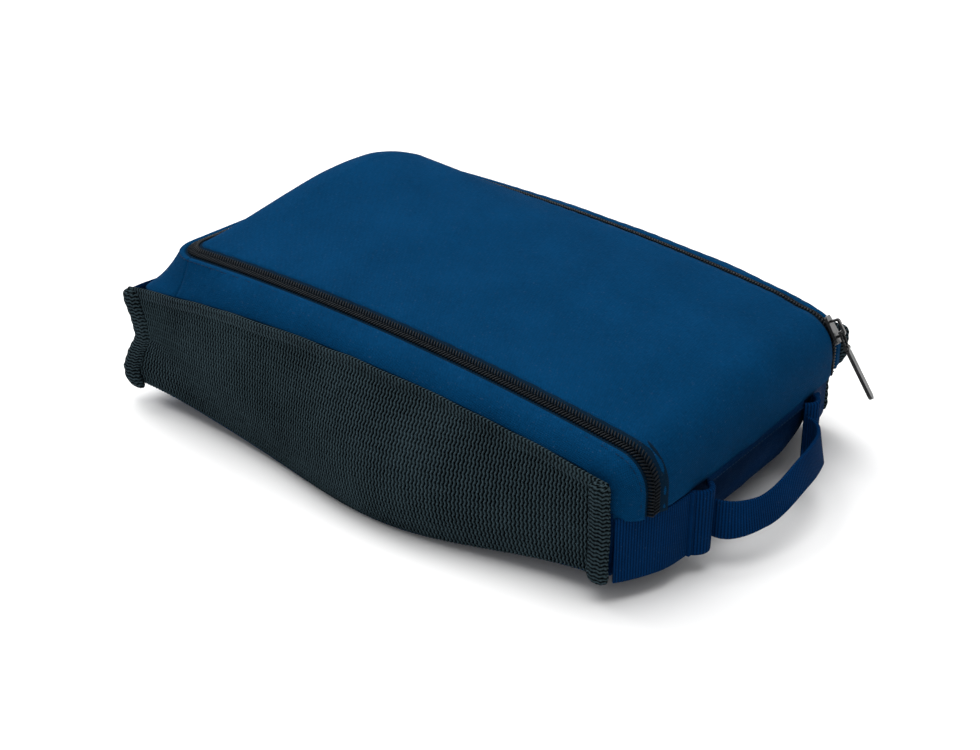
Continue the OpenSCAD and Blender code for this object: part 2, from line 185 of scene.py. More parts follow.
def evened(values, count):
    """A line of values, each mixed with its neighbours under a raised cosine."""
    kernel = np.hanning(count) / np.hanning(count).sum()
    return np.convolve(np.pad(values, count // 2, mode="edge"), kernel, mode="valid")


def zip_stations(step=1.0, whole=True):
    """The zip's line at even steps: up the end, a quarter arc, the long run, the far corner and
    the far end, then mirrored back. Gives points, outward directions, normals and distances."""
    parts = []

    def add(p, out, up):
        parts.append(np.stack([np.stack(np.broadcast_arrays(*v), -1) for v in (p, out, up)]))

    zero, one = 0.0, 1.0
    z = np.linspace(SEAM_H - 2, BEND_Z, 12)[:-1]
    add((END_X, -ZIP_Y, z), (zero, -one, zero * z), (one, zero, zero * z))
    a = np.linspace(0, math.pi / 2 - BEND_SLOPE, 24)[:-1]
    add((END_X - BEND_R + BEND_R * np.cos(a), -ZIP_Y, BEND_Z + BEND_R * np.sin(a)),
        (zero, -one, zero * a), (np.cos(a), zero, np.sin(a)))
    x = np.linspace(BEND_X, CORNER_X, 120)[:-1]
    s = np.arctan((x - RIM_APEX) / RIM_R)
    add((x, -ZIP_Y, rim(x)), (zero, -one, zero * x), (np.sin(s), zero, np.cos(s)))
    a = np.linspace(1.5 * math.pi, math.pi, 30)[:-1]
    x = CORNER_X + CORNER_R * np.cos(a)
    add((x, -ZIP_Y + CORNER_R + CORNER_R * np.sin(a), rim(x)),
        (np.cos(a), np.sin(a), zero), (zero * a, zero, one))
    y = np.linspace(-ZIP_Y + CORNER_R, 0, 40)
    add((FAR_X, y, rim(FAR_X)), (-one, zero, zero * y), (zero * y, zero, one))
    line = np.concatenate(parts, 1)
    if whole:
        back = line[:, -2::-1].copy()
        back[:, :, 1] *= -1
        back[0, :, 0] = pull_x(back[0, :, 0], back[0, :, 1])
        line = np.concatenate([line, back], 1)
    gone = np.concatenate([[0], np.cumsum(np.linalg.norm(np.diff(line[0], axis=0), axis=1))])
    even = np.linspace(0, gone[-1], int(gone[-1] / step) + 1)
    point, out, up = (sampled(even, gone, v) for v in line)
    out /= np.linalg.norm(out, axis=1, keepdims=True)
    up /= np.linalg.norm(up, axis=1, keepdims=True)
    return point, out, up, even


def place(stations, across, high):
    """Points beside the zip: across its tilted tape, and high above it."""
    point, out, up = (v[:, None] for v in stations[:3])
    a, h = (np.asarray(v, float)[None, :, None] if np.ndim(v) == 1 else np.asarray(v)[..., None]
            for v in np.broadcast_arrays(across, high))
    c, s = math.cos(TILT), math.sin(TILT)
    return point + out * (a * c + h * s) + up * (h * c - a * s)


def crown(s_along, x, on_run):
    """Rise of the lid: a quarter ellipse from the far zip, then a curved fall to the fold, and
    less round the bend."""
    top = FAR_X + 5.0 + CROWN_RUN
    body = mix(CROWN_FOLD, CROWN_H, np.clip((FOLD_X - x) / (FOLD_X - top), 0, 1) ** 2.8)
    rise = np.sqrt(np.clip(1 - np.clip((top - x) / CROWN_RUN, 0, 1) ** 2, 0, 1))
    return np.where(on_run, body * rise, mix(CROWN_SEAM, CROWN_FOLD, smooth(s_along / 50.0)))


# ---- Meshes ----

def lengths(p, axis):
    """Distance along a grid's lines from their middle."""
    d = np.linalg.norm(np.diff(p, axis=axis), axis=-1)
    total = np.insert(np.cumsum(d, axis=axis), 0, 0, axis=axis)
    return total - np.take(total, [p.shape[axis] // 2], axis=axis)


def surface(name, p, material, wall=0.0, close=False, flip=False, caps=False, cut=None):
    """A grid of points in millimetres as a mesh in metres. Its UV is the lengths along the cloth,
    or along a plainer grid of the same cut."""
    p = np.asarray(p, float)
    cut = p if cut is None else cut
    if flip:
        p, cut = p[:, ::-1], cut[:, ::-1]
    n, m = p.shape[:2]
    u = lengths(cut, 0).mean(1, keepdims=True) + np.zeros((n, m))
    v = lengths(cut, 1)
    if close:
        girth = np.linalg.norm(p[:, 0] - p[:, -1], axis=1, keepdims=True)
        u, v = np.hstack([u, u[:, :1]]), np.hstack([v, v[:, -1:] + girth])
    i, j = np.meshgrid(np.arange(n - 1), np.arange(m if close else m - 1), indexing="ij")
    k = (j + 1) % m
    quads = np.stack([i * m + j, (i + 1) * m + j, (i + 1) * m + k, i * m + k], -1).reshape(-1, 4)
    uv = np.stack([np.stack([u[a, b], v[a, b]], -1) for a, b in
                   ((i, j), (i + 1, j), (i + 1, j + 1), (i, j + 1))], 2).reshape(-1, 2)
    mesh = bpy.data.meshes.new(name)
    faces = quads.tolist()
    if caps:
        ring = np.arange(m)
        faces += [ring.tolist(), ((n - 1) * m + ring[::-1]).tolist()]
        uv = np.concatenate([uv, np.stack([u[0, :m], v[0, :m]], -1),
                             np.stack([u[-1, :m], v[-1, :m]], -1)[::-1]])
    mesh.from_pydata((p.reshape(-1, 3) / 1000).tolist(), [], faces)
    layer = mesh.uv_layers.new(name="Cloth")
    layer.data.foreach_set("uv", (uv / 1000).astype(np.float32).ravel())
    return finish_mesh(name, mesh, material, wall)


def finish_mesh(name, mesh, material, wall=0.0):
    """An object for a mesh, smooth, with its material and a cloth's thickness inwards."""
    mesh.polygons.foreach_set("use_smooth", np.ones(len(mesh.polygons), bool))
    mesh.materials.append(material)
    mesh.update()
    piece = bpy.data.objects.new(name, mesh)
    bpy.context.scene.collection.objects.link(piece)
    if wall:
        thick = piece.modifiers.new("Wall", "SOLIDIFY")
        thick.thickness, thick.offset = wall / 1000, -1
    return piece


def repeated(name, shape, faces, origins, axes, material):
    """Many copies of one small shape: each vertex is an origin plus three axes by the shape."""
    shape = np.asarray(shape, float)
    points = origins[:, None] + np.einsum("vk,nkc->nvc", shape, axes)
    count, size = points.shape[:2]
    faces = np.asarray(faces)
    every = (faces[None] + size * np.arange(count)[:, None, None]).reshape(-1, faces.shape[1])
    mesh = bpy.data.meshes.new(name)
    mesh.from_pydata((points.reshape(-1, 3) / 1000).tolist(), [], every.tolist())
    return finish_mesh(name, mesh, material)


def capsule(length, radius, high=1.0, sides=6):
    """A short closed bar along its first axis: circles whose radius swells from its ends."""
    stops = np.array([-0.5, -0.46, -0.3, 0.3, 0.46, 0.5]) * length
    swell = np.array([0.25, 0.7, 1.0, 1.0, 0.7, 0.25]) * radius
    turn = np.linspace(0, 2 * math.pi, sides, endpoint=False)
    ring = np.stack([np.cos(turn), np.sin(turn) * high], -1)
    points = np.concatenate([np.column_stack([np.full(sides, s), ring * r])
                             for s, r in zip(stops, swell)])
    faces = []
    for i in range(len(stops) - 1):
        for j in range(sides):
            k = (j + 1) % sides
            faces.append([i * sides + j, i * sides + k, (i + 1) * sides + k, (i + 1) * sides + j])
    end = (len(stops) - 1) * sides
    faces += [[0, 5, 4, 3], [0, 3, 2, 1]]
    faces += [[end + i for i in cap] for cap in ((0, 1, 2, 3), (0, 3, 4, 5))]
    return points, faces


def frames_along(path):
    """Unit directions along a path, and two more square to them, one as near up as it can be."""
    along = np.gradient(path, axis=0)
    along /= np.linalg.norm(along, axis=1, keepdims=True)
    side = np.cross(along, [0.02, 0.01, 1.0])
    side /= np.linalg.norm(side, axis=1, keepdims=True)
    return along, side, np.cross(side, along)


def swept(path, profile, side=None, up=None):
    """A closed profile carried along a path."""
    path = np.asarray(path, float)
    if side is None:
        _, side, up = frames_along(path)
    wide, tall = profile[..., 0, None], profile[..., 1, None]
    return path[:, None] + side[:, None] * wide + up[:, None] * tall


def rounded_bar(width, thick, corner, count=4):
    """Outline of a flat bar with round edges: four quarter circles, anticlockwise."""
    w, t = width / 2 - corner, thick / 2 - corner
    turn = np.linspace(0, math.pi / 2, count)
    centres = ((w, t, 0), (-w, t, 1), (-w, -t, 2), (w, -t, 3))
    return np.concatenate([np.stack([x + corner * np.cos(turn + q * math.pi / 2),
                                     y + corner * np.sin(turn + q * math.pi / 2)], -1)
                           for x, y, q in centres])


def stitches(name, path, up, material, pitch=3.2, radius=0.28):
    """Thread along a seam: one short bar at each even step, sunk a little into the cloth."""
    gone = np.concatenate([[0], np.cumsum(np.linalg.norm(np.diff(path, axis=0), axis=1))])
    at = np.arange(pitch / 2, gone[-1], pitch)
    spot = sampled(at, gone, path)
    ahead = sampled(at + 0.5, gone, path) - sampled(at - 0.5, gone, path)
    ahead /= np.linalg.norm(ahead, axis=1, keepdims=True)
    side = np.cross(sampled(at, gone, up), ahead)
    side /= np.linalg.norm(side, axis=1, keepdims=True)
    high = np.cross(ahead, side)
    shape, faces = capsule(pitch * 0.84, radius)
    return repeated(name, shape, faces, spot, np.stack([ahead, side, high], 1), material)


# ---- Materials ----

class Tree:
    """A few short calls for building a node tree."""

    def __init__(self, tree):
        self.tree = tree

    def add(self, kind, inputs=(), **settings):
        """One node, with its settings and its linked or plain inputs by name or number."""
        made = self.tree.nodes.new(kind)
        for key, value in settings.items():
            setattr(made, key, value)
        for key, value in dict(inputs).items():
            if isinstance(value, bpy.types.NodeSocket):
                self.link(value, made.inputs[key])
            else:
                made.inputs[key].default_value = value
        return made

    def link(self, given, taken):
        """Joins two sockets."""
        self.tree.links.new(given, taken)

    def math(self, operation, *values):
        """A Math node's value."""
        return self.add("ShaderNodeMath", enumerate(values), operation=operation).outputs[0]


def new_group(name, inputs, outputs):
    """An empty shader group with named float or vector inputs and outputs."""
    tree = bpy.data.node_groups.new(name, "ShaderNodeTree")
    for label, value in inputs.items():
        kind = "NodeSocketVector" if value is None else "NodeSocketFloat"
        socket = tree.interface.new_socket(name=label, in_out="INPUT", socket_type=kind)
        if value is not None:
            socket.default_value = value
    for label in outputs:
        tree.interface.new_socket(name=label, in_out="OUTPUT", socket_type="NodeSocketFloat")
    t = Tree(tree)
    return t, t.add("NodeGroupInput").outputs, t.add("NodeGroupOutput").inputs


def threads_group():
    """Plain weave: crossed sine waves that are high where one thread passes over the other,
    with thick and thin threads from stretched noise."""
    t, given, out = new_group("Plain Weave", {"Cloth": None, "Pitch": 0.0006}, ("Height", "Tone"))
    at = t.add("ShaderNodeSeparateXYZ", {0: given["Cloth"]}).outputs
    turns = t.math("DIVIDE", math.pi * 2, given["Pitch"])
    warp = t.math("SINE", t.math("MULTIPLY", at[0], turns))
    weft = t.math("SINE", t.math("MULTIPLY", at[1], turns))
    cross = t.math("MULTIPLY", warp, weft)
    slub = []
    for stretch in ((240, 1700, 1), (1700, 240, 1)):
        point = t.add("ShaderNodeVectorMath", {0: given["Cloth"], 1: stretch}, operation="MULTIPLY")
        slub.append(t.add("ShaderNodeTexNoise", {"Vector": point.outputs[0], "Scale": 1.0,
                                                "Detail": 2.0}).outputs["Fac"])
    uneven = t.math("SUBTRACT", t.math("ADD", *slub), 1.0)
    t.link(t.math("ADD", t.math("MULTIPLY", cross, 0.5), uneven), out["Height"])
    # Tone: lighter where the threads rise and darker where they dip, painted highlight and painted
    # shade, plus the threads' own uneven colour from the slubs.
    t.link(t.math("ADD", 0.5, t.math("ADD", t.math("MULTIPLY", cross, 0.30),
                                            t.math("MULTIPLY", uneven, 0.55))), out["Tone"])
    return t.tree


def knit_group():
    """Warp knit: ribs that zig-zag up the cloth, and a small hole between each pair of bends."""
    t, given, out = new_group("Mesh Knit", {"Cloth": None, "Rib": 0.0028, "Row": 0.0021},
                              ("Height", "Hole", "Tone"))
    at = t.add("ShaderNodeSeparateXYZ", {0: given["Cloth"]}).outputs
    row = t.math("DIVIDE", at[1], given["Row"])
    swing = t.math("MULTIPLY", t.math("SINE", t.math("MULTIPLY", row, math.pi)), RIB_SWING)
    rib = t.math("ADD", t.math("DIVIDE", at[0], given["Rib"]), swing)
    across = t.math("COSINE", t.math("MULTIPLY", rib, 2 * math.pi))
    along = t.math("COSINE", t.math("MULTIPLY", row, 2 * math.pi))
    wander = t.add("ShaderNodeTexNoise", {"Vector": given["Cloth"], "Scale": 260.0,
                                          "Detail": 2.0}).outputs["Fac"]
    depth = t.math("ADD", across, t.math("MULTIPLY", along, 0.22))
    depth = t.math("ADD", depth, t.math("MULTIPLY", t.math("SUBTRACT", wander, 0.5), 0.9))
    hole = t.add("ShaderNodeMapRange", {"Value": depth, 1: -1.15, 2: -0.98, 3: 1.0, 4: 0.0})
    t.link(depth, out["Height"])
    t.link(hole.outputs[0], out["Hole"])
    # Colour follows the depth: painted shade in the hollows between the ribs and round the holes,
    # painted highlight on the crests, with some random wander.
    painted_shade_and_tone = t.add("ShaderNodeMapRange", {"Value": depth, 1: -0.9, 2: 1.3, 3: 0.0, 4: 1.0})
    t.link(painted_shade_and_tone.outputs[0], out["Tone"])
    return t.tree


def webbing_group():
    """Webbing: round ribs across the strap, each broken by a fine zig-zag of threads."""
    t, given, out = new_group("Webbing Ribs", {"Cloth": None, "Rib": 0.0016, "Thread": 0.0009},
                              ("Height", "Tone"))
    at = t.add("ShaderNodeSeparateXYZ", {0: given["Cloth"]}).outputs
    row = t.math("SINE", t.math("MULTIPLY", t.math("DIVIDE", at[1], given["Thread"]), 2 * math.pi))
    rib = t.math("ADD", t.math("DIVIDE", at[0], given["Rib"]), t.math("MULTIPLY", row, 0.11))
    rounded = t.math("ABSOLUTE", t.math("SINE", t.math("MULTIPLY", rib, math.pi)))
    height = t.math("ADD", t.math("MULTIPLY", rounded, 0.8), t.math("MULTIPLY", row, 0.12))
    t.link(height, out["Height"])
    # Its colour is the height itself: painted shade in the grooves between the ribs, painted
    # highlight on their crests.
    t.link(height, out["Tone"])
    return t.tree


def wear_group():
    """Slow colour change over the piece, and pale lint: two sizes of noise on the object."""
    t, given, out = new_group("Cloth Wear", {"Size": 28.0, "Amount": 1.0}, ("Tone", "Lint"))
    here = t.add("ShaderNodeTexCoord").outputs["Object"]
    slow, fine = (t.add("ShaderNodeTexNoise", {"Vector": here, "Scale": scale, "Detail": detail})
                  .outputs["Fac"] for scale, detail in ((given["Size"], 3.0), (900.0, 1.0)))
    t.link(t.math("MULTIPLY", t.math("SUBTRACT", slow, 0.5), given["Amount"]), out["Tone"])
    lint = t.add("ShaderNodeMapRange", {"Value": fine, 1: 0.66, 2: 0.8, 3: 0.0, 4: 1.0})
    t.link(lint.outputs[0], out["Lint"])
    return t.tree


def new_material(name):
    """A material, its tree and its Principled shader."""
    made = bpy.data.materials.new(name)
    made.use_nodes = True
    return made, Tree(made.node_tree), made.node_tree.nodes["Principled BSDF"]


def shade(colour, by):
    """A colour by a factor, with its alpha."""
    return (*[min(c * by, 1.0) for c in colour[:3]], 1.0)


def cloth_material(name, colour, group, values, bump, rough, sheen, dark, bright, holes, lint=0.05):
    """A cloth: dark to bright threads by the weave's painted shade and highlight and by the wear,
    with the weave as bump.
    """
    made, t, shader = new_material(name)
    at = t.add("ShaderNodeUVMap", uv_map="Cloth").outputs[0]
    weave = t.add("ShaderNodeGroup", node_tree=bpy.data.node_groups[group])
    t.link(at, weave.inputs["Cloth"])
    for key, value in values.items():
        weave.inputs[key].default_value = value
    wear = t.add("ShaderNodeGroup", node_tree=bpy.data.node_groups["Cloth Wear"])
    # The weave's Tone, painted shade in its hollows and painted highlight on its crests, plus the
    # random wear.
    painted_shade_and_tone = t.math("ADD", weave.outputs["Tone"], t.math("MULTIPLY", wear.outputs["Tone"], 0.5))
    ramp = t.add("ShaderNodeValToRGB", {0: painted_shade_and_tone})
    ramp.color_ramp.elements[0].color = shade(colour, dark)
    ramp.color_ramp.elements[1].color = shade(colour, bright)
    pale = t.add("ShaderNodeMix", {0: t.math("MULTIPLY", wear.outputs["Lint"], lint),
                                   6: ramp.outputs[0], 7: (0.30, 0.36, 0.42, 1.0)},
                 data_type="RGBA")
    t.link(pale.outputs[2], shader.inputs["Base Color"])
    rise = t.add("ShaderNodeBump", {"Height": weave.outputs["Height"], "Distance": bump,
                                    "Strength": 0.7})
    t.link(rise.outputs[0], shader.inputs["Normal"])
    rougher = t.add("ShaderNodeMapRange", {"Value": painted_shade_and_tone, 1: 0.0, 2: 1.0, 3: min(rough + 0.1, 1),
                                           4: rough - 0.08})
    t.link(rougher.outputs[0], shader.inputs["Roughness"])
    shader.inputs["Sheen Weight"].default_value = sheen
    shader.inputs["Sheen Roughness"].default_value = 0.35
    shader.inputs["Sheen Tint"].default_value = (0.45, 0.65, 0.9, 1.0)
    shader.inputs["Specular IOR Level"].default_value = 0.01
    if holes:
        solid = t.math("SUBTRACT", 1.0, weave.outputs["Hole"])
        t.link(solid, shader.inputs["Alpha"])
    return made


def moulded_material(name, colour, rough, coat, grain):
    """Enamel or nylon: an even colour broken by wear and a fine grain, under a clear coat."""
    made, t, shader = new_material(name)
    wear = t.add("ShaderNodeGroup", node_tree=bpy.data.node_groups["Cloth Wear"])
    wear.inputs["Size"].default_value = 160.0
    ramp = t.add("ShaderNodeValToRGB", {0: t.math("ADD", wear.outputs["Tone"], 0.5)})
    ramp.color_ramp.elements[0].color = shade(colour, 0.7)
    ramp.color_ramp.elements[1].color = shade(colour, 1.5)
    t.link(ramp.outputs[0], shader.inputs["Base Color"])
    uneven = t.add("ShaderNodeMapRange", {"Value": wear.outputs["Tone"], 1: -0.3, 2: 0.3,
                                          3: rough - 0.07, 4: rough + 0.1})
    t.link(uneven.outputs[0], shader.inputs["Roughness"])
    rise = t.add("ShaderNodeBump", {"Height": wear.outputs["Lint"], "Distance": grain,
                                    "Strength": 0.4})
    t.link(rise.outputs[0], shader.inputs["Normal"])
    shader.inputs["Coat Weight"].default_value = coat
    shader.inputs["Specular IOR Level"].default_value = 0.08 if coat == 0 else 0.3
    shader.inputs["Coat Roughness"].default_value = 0.15
    return made


def material(name):
    """One of the bag's finishes, made once with the colours of the sidebar."""
    found = bpy.data.materials.get(name)
    if found:
        return found
    if not bpy.data.node_groups.get("Cloth Wear"):
        for make in (threads_group, knit_group, webbing_group, wear_group):
            make()
    c = bpy.context.scene.bag_colours
    s = bpy.context.scene.bag_sizes
    knit = {"Rib": s.rib, "Row": s.row}
    # Colour, weave, its sizes, height of its bump, roughness, sheen, darkest and brightest share
    # The darkest share is painted shade in the weave's hollows, the brightest painted highlight on
    # its crests.
    cloths = {
        "Oxford": (c.cloth, "Plain Weave", {"Pitch": s.weave}, 0.0003, 0.74, 0.006, 0.55, 1.5),
        # A darker copy of the lid's oxford cloth: painted shade for the ends, the underside and the
        # hinge fold, which face away from the light.
        "Oxford Painted Shade": (c.cloth_painted_shade, "Plain Weave", {"Pitch": s.weave}, 0.0003, 0.78, 0.005,
                         0.55, 1.5),
        "Mesh": (c.mesh, "Mesh Knit", knit, 0.0007, 0.72, 0.03, 0.02, 4.4),
        "Mesh Hem": (c.mesh, "Mesh Knit", knit, 0.0007, 0.72, 0.03, 0.08, 3.8),
        "Webbing": (c.webbing, "Webbing Ribs", {}, 0.0004, 0.7, 0.006, 0.3, 1.9),
        "Zip Tape": (c.tape, "Plain Weave", {"Pitch": 0.0009}, 0.0002, 0.85, 0.02, 0.55, 1.5),
        "Binding Tape": (c.binding, "Plain Weave", {"Pitch": 0.0008}, 0.0002, 0.85, 0.02,
                         0.55, 1.5),
    }
    # Colour, roughness, clear coat and height of the grain
    moulded = {
        "Thread": (c.thread, 0.6, 0.0, 0.0001),
        "Zip Coil": (c.coil, 0.42, 0.0, 0.00003),
        "Black Enamel": (c.metal, 0.30, 0.15, 0.00002),
    }
    if name in cloths:
        return cloth_material(name, *cloths[name], holes=name == "Mesh")
    return moulded_material(name, *moulded[name])


# ---- Properties ----

class BagSizes(bpy.types.PropertyGroup):
    """Sizes of the cloth's detail"""

    weave: FloatProperty(name="Weave", description="Width of one thread pair of the oxford cloth",
                         default=0.0011, unit="LENGTH")
    rib: FloatProperty(name="Rib", description="Width of one rib of the mesh",
                       default=0.0023, unit="LENGTH")
    row: FloatProperty(name="Row", description="Height of one row of the mesh",
                       default=0.0022, unit="LENGTH")
    tooth: FloatProperty(name="Tooth", description="Pitch of the zip's teeth",
                         default=0.0019, unit="LENGTH")
    stitch: FloatProperty(name="Stitch", description="Pitch of the topstitching",
                          default=0.0032, unit="LENGTH")
    cloth: FloatProperty(name="Cloth", description="Thickness of the oxford cloth", default=0.0009,
                         unit="LENGTH")
    pucker: FloatProperty(name="Pucker", description="Height of the puckers along the zip's seam",
                          default=0.00018, unit="LENGTH")


class BagColours(bpy.types.PropertyGroup):
    """Colours of the bag's materials"""

    cloth: FloatVectorProperty(name="Cloth", description="Oxford cloth of the lid and the bands",
                               size=3, subtype="COLOR", default=(0.0008, 0.0320, 0.0920),
                               min=0, max=1)
    # The same oxford cloth made darker: painted shade for the ends and the underside.
    cloth_painted_shade: FloatVectorProperty(name="Cloth in Painted Shade",
                                   description="Oxford cloth of the ends and the bottom",
                                   size=3, subtype="COLOR", default=(0.0004, 0.0135, 0.0500),
                                   min=0, max=1)
    mesh: FloatVectorProperty(name="Mesh", description="Knitted mesh of the long sides", size=3,
                              subtype="COLOR", default=(0.0100, 0.0165, 0.0195), min=0, max=1)
    webbing: FloatVectorProperty(name="Webbing", description="Webbing of the handle and the straps",
                                 size=3, subtype="COLOR", default=(0.0004, 0.0150, 0.0560),
                                 min=0, max=1)
    tape: FloatVectorProperty(name="Zip Tape", description="Woven tape of the zip", size=3,
                              subtype="COLOR", default=(0.0030, 0.0130, 0.0280), min=0, max=1)
    coil: FloatVectorProperty(name="Zip Coil", description="Nylon teeth of the zip", size=3,
                              subtype="COLOR", default=(0.0035, 0.0055, 0.008), min=0, max=1)
    thread: FloatVectorProperty(name="Thread", description="Topstitching thread", size=3,
                                subtype="COLOR", default=(0.0008, 0.0150, 0.0450), min=0, max=1)
    metal: FloatVectorProperty(name="Enamel", description="Enamel of the slider and its pull",
                               size=3, subtype="COLOR", default=(0.004, 0.0045, 0.0055),
                               min=0, max=1)
    binding: FloatVectorProperty(name="Binding", description="Binding inside the bottom", size=3,
                                 subtype="COLOR", default=(0.008, 0.010, 0.014), min=0, max=1)


class BAG_OT_stage(bpy.types.Operator):
    """Floor, lights and camera"""

    bl_idname = "bag.stage"
    bl_label = "Stage"
    bl_options = {"REGISTER", "UNDO"}

    def execute(self, context):
        """A wide pale floor, three soft lights and a long lens."""
        scene = bpy.context.scene
        world = bpy.data.worlds.new("Studio")
        world.use_nodes = True
        back = world.node_tree.nodes["Background"]
        back.inputs[0].default_value = (1.0, 1.0, 1.0, 1.0)
        back.inputs[1].default_value = 0.34
        scene.world = world
        scene.view_settings.view_transform = "Standard"
        pale, _, shader = new_material("Pale Floor")
        shader.inputs["Base Color"].default_value = (0.93, 0.93, 0.93, 1.0)
        shader.inputs["Roughness"].default_value = 0.9
        shader.inputs["Specular IOR Level"].default_value = 0.1
        span = np.linspace(-6000, 6000, 9)
        x, y = np.meshgrid(span, span, indexing="ij")
        floor = surface("floor", np.stack([x, y, 0 * x], -1), pale)
        for name, spot, size, power, aim in (
            ("Key", (-1.6, 0.5, 1.8), 1.6, 30.0, (0.0, 0.0, 0.05)),
            ("Top", (-0.1, -0.1, 2.4), 2.4, 66.0, (0.0, 0.0, 0.0)),
            ("Front", (0.6, -2.2, 1.0), 1.6, 3.5, (0.0, 0.0, 0.05)),
        ):
            light = bpy.data.lights.new(name, "AREA")
            light.size, light.energy = size, power
            lamp = bpy.data.objects.new(name, light)
            lamp.location = spot
            lamp.rotation_euler = (Vector(aim) - Vector(spot)).to_track_quat("-Z", "Y").to_euler()
            scene.collection.objects.link(lamp)
        lens = bpy.data.cameras.new("Camera")
        lens.lens, lens.sensor_width = 67.96, 36.0
        camera = bpy.data.objects.new("Camera", lens)
        camera.location = (0.630, -0.7705, 0.5306)
        aim = Vector((0.0384, -0.0403, 0.0566))
        camera.rotation_euler = (aim - camera.location).to_track_quat("-Z", "Y").to_euler()
        scene.collection.objects.link(camera)
        scene.camera = camera
        return {"FINISHED"}


def lid_grid(sizes):
    """The lid's cloth: rows along the zip's profile and columns across. Each point is the profile
    plus its normal by the crown, which leans back and falls off across; the edges curl down."""
    point, _, up, along = zip_stations(2.0, whole=False)
    on_run = point[:, 0] < FOLD_X
    keep = (np.abs(point[:, 1] + ZIP_Y) < 0.01) & (point[:, 2] > SEAM_H - 1)
    point, up, along, on_run = point[keep], up[keep], along[keep], on_run[keep]
    left, rows = FAR_X + LID_END, 14
    tail = np.linspace(CORNER_X - 0.5, left, rows)
    point = np.concatenate([point, np.stack([tail, 0 * tail - ZIP_Y, rim(tail)], -1)])
    up = np.concatenate([up, np.tile(UP, (rows, 1))])
    along = np.concatenate([along, along[-1] + np.arange(1, rows + 1) * 0.5])
    on_run = np.concatenate([on_run, np.ones(rows, bool)])
    x = point[:, 0]
    height = crown(along - along[0], x, on_run)
    height = np.where((x > -110) & (np.arange(len(x)) > 8), evened(height, 15), height)
    r, half = CORNER_R - 5.0, ZIP_Y - LID_SIDE
    near = np.clip((left + r - x) / r, 0, 1)
    width = half - r + r * np.sqrt(1 - near ** 2)
    u = np.sin(np.linspace(-math.pi / 2, math.pi / 2, 97))
    y = width[:, None] * u
    lean = 0.30 * smooth((20 - x) / 120)[:, None]
    warped = u - lean * (1 - u ** 2)
    profile = 1 - np.abs(warped) ** 2.2
    s = along[:, None] + 0 * u
    edge = np.minimum(width[:, None] - np.abs(y), np.maximum(x[:, None] - left, 0.0))
    fade = np.exp(-edge / 9.0)
    pucker = sizes.pucker * 1000 * fade * (np.sin(s * 0.52 + 2 * np.sin(s * 0.09)) * (edge > 0.3))
    broad, small = ripple(s, y, 4, 90.0), ripple(s, y, 9, 34.0)
    folds = 0.7 * broad * smooth(edge / 40) + 0.25 * small * smooth(edge / 25)
    lip = 1.2 * smooth(edge / 1.6) + 1.2 + 1.0 * smooth(edge / 8)
    high = lip + height[:, None] * profile + pucker + folds
    grid = point[:, None] * [1, 0, 1] + up[:, None] * high[..., None]
    grid[..., 1] = y
    grid[..., 0] = np.where(grid[..., 0] > FOLD_X, pull_x(grid[..., 0], y), grid[..., 0])
    return grid


class BAG_OT_lid(bpy.types.Operator):
    """The lid's cloth, from the far zip over the bend to the seam on the handle end"""

    bl_idname = "bag.lid"
    bl_label = "Lid"
    bl_options = {"REGISTER", "UNDO"}

    def execute(self, context):
        """One sheet that bends at the lid's hinge."""
        sizes = context.scene.bag_sizes
        piece = surface("lid_cloth", lid_grid(sizes), material("Oxford"), sizes.cloth * 1000)
        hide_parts("lid_panel", "lid_end_flap")
        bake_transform(piece)
        return {"FINISHED"}


class BAG_OT_zip(bpy.types.Operator):
    """Both zip tapes and both rows of teeth"""

    bl_idname = "bag.zip"
    bl_label = "Zip"
    bl_options = {"REGISTER", "UNDO"}

    def execute(self, context):
        """Tapes are strips along the zip's line; teeth are short bars across it at even steps."""
        sizes = context.scene.bag_sizes
        line = zip_stations(1.5)
        for name, inner, outer, nodes in (
            ("rim_tape", SLOT, TAPE_W, ("rim_zip_tape",)),
            ("inner_tape", -TAPE_W, -SLOT, ("lid_zip_tape", "end_zip_tape")),
        ):
            across = np.linspace(inner, outer, 7)
            grid = place(line, across, np.zeros(7))
            tape = surface(name, grid, material("Zip Tape"), 0.8, flip=True)
            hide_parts(*nodes)
            if inner > 0:
                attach(tape, "root")
            else:
                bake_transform(tape)
        pitch = sizes.tooth * 1000
        for name, sign, nodes in (("rim_teeth", 1, ("rim_zip_coil",)),
                                  ("inner_teeth", -1, ("lid_zip_coil", "end_zip_coil"))):
            point, out, up, _ = zip_stations(pitch)
            if sign < 0:
                point = (point[1:] + point[:-1]) / 2
                out, up = out[1:], up[1:]
            c, s = math.cos(TILT), math.sin(TILT)
            across = out * c - up * s
            high = out * s + up * c
            ahead = np.cross(across, high)
            slant = across + TOOTH_SLANT * sign * ahead
            centre = point + across * sign * TOOTH_Y + high * TOOTH_Z
            shape, faces = capsule(TOOTH_L, TOOTH_R, TOOTH_TALL)
            axes = np.stack([slant, -ahead, high], 1)
            teeth = repeated(name, shape, faces, centre, axes, material("Zip Coil"))
            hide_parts(*nodes)
            if sign > 0:
                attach(teeth, "root")
            else:
                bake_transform(teeth)
        return {"FINISHED"}


